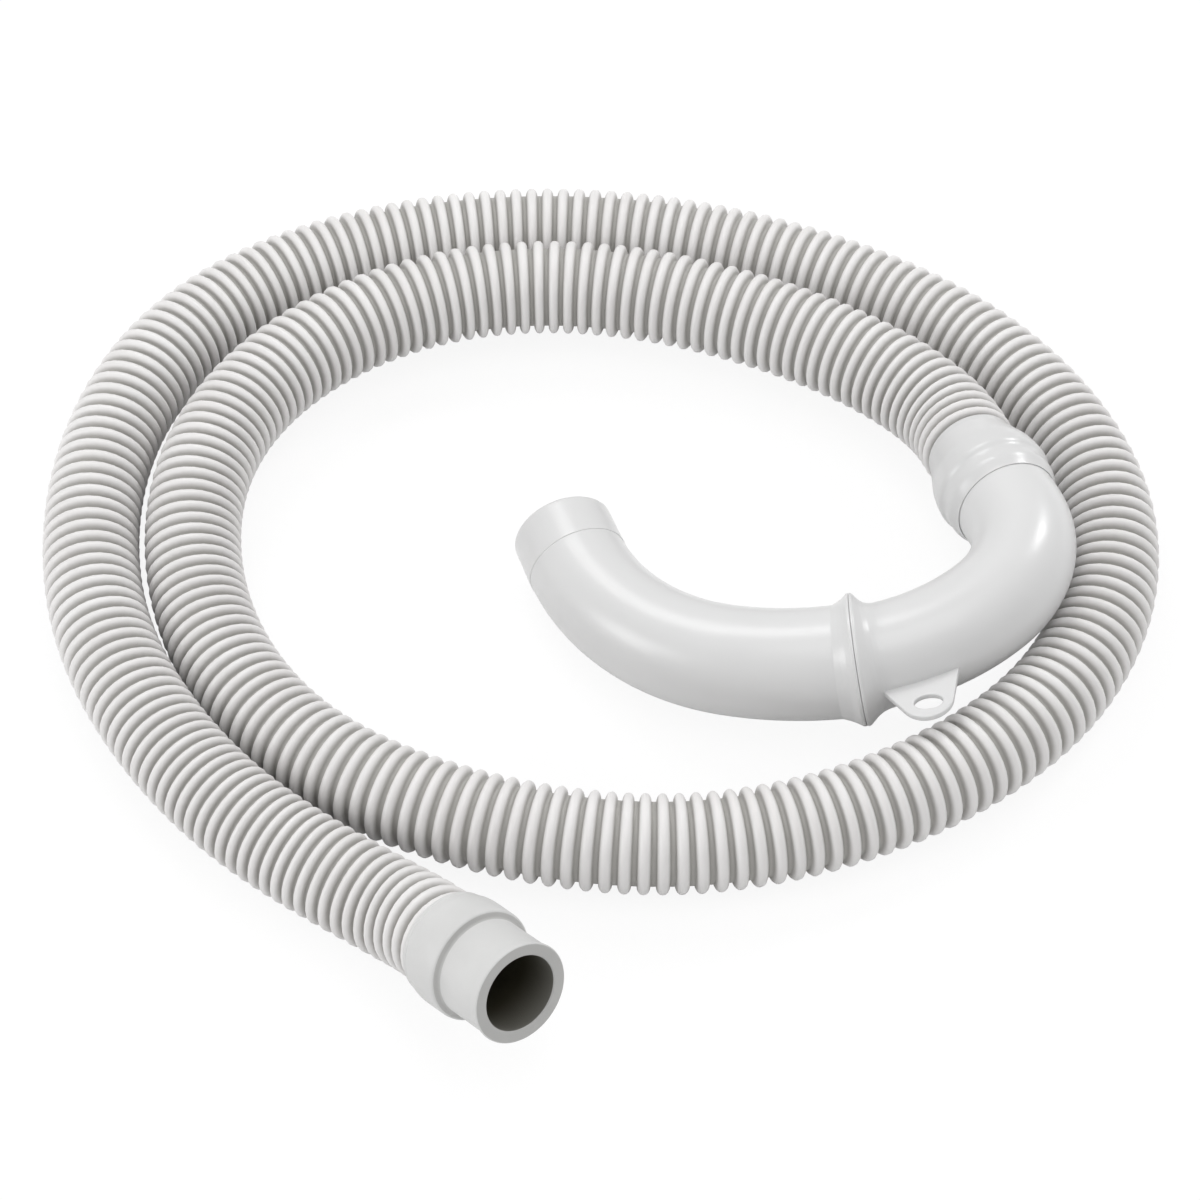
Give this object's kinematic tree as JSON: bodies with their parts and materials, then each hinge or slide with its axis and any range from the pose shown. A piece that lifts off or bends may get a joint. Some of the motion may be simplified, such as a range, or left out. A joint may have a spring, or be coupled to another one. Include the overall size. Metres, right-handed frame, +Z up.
{
  "type": "drain hose",
  "caption": "Corrugated drain hose for a washing machine, laid in a loose coil, with a push-on cuff at one end and a moulded U bend on a collar at the other.",
  "frame": {"origin": "middle of the footprint, on the floor that the hose lies on", "axes": "+Z up, away from the floor; -Y towards the end with the cuff"},
  "size_m": [0.3681, 0.3653, 0.0524],
  "materials": {
    "hose_plastic": "satin warm light grey polypropylene",
    "cuff_plastic": "matte mid grey",
    "collar_plastic": "smooth light grey",
    "inlet_plastic": "smooth light grey",
    "outlet_plastic": "smooth light grey"
  },
  "bodies": {
    "root": {"corrugated_hose": "hose_plastic", "end_cuff": "cuff_plastic", "hose_collar": "collar_plastic", "inlet_elbow": "inlet_plastic", "outlet_elbow": "outlet_plastic"}
  },
  "joints": []
}
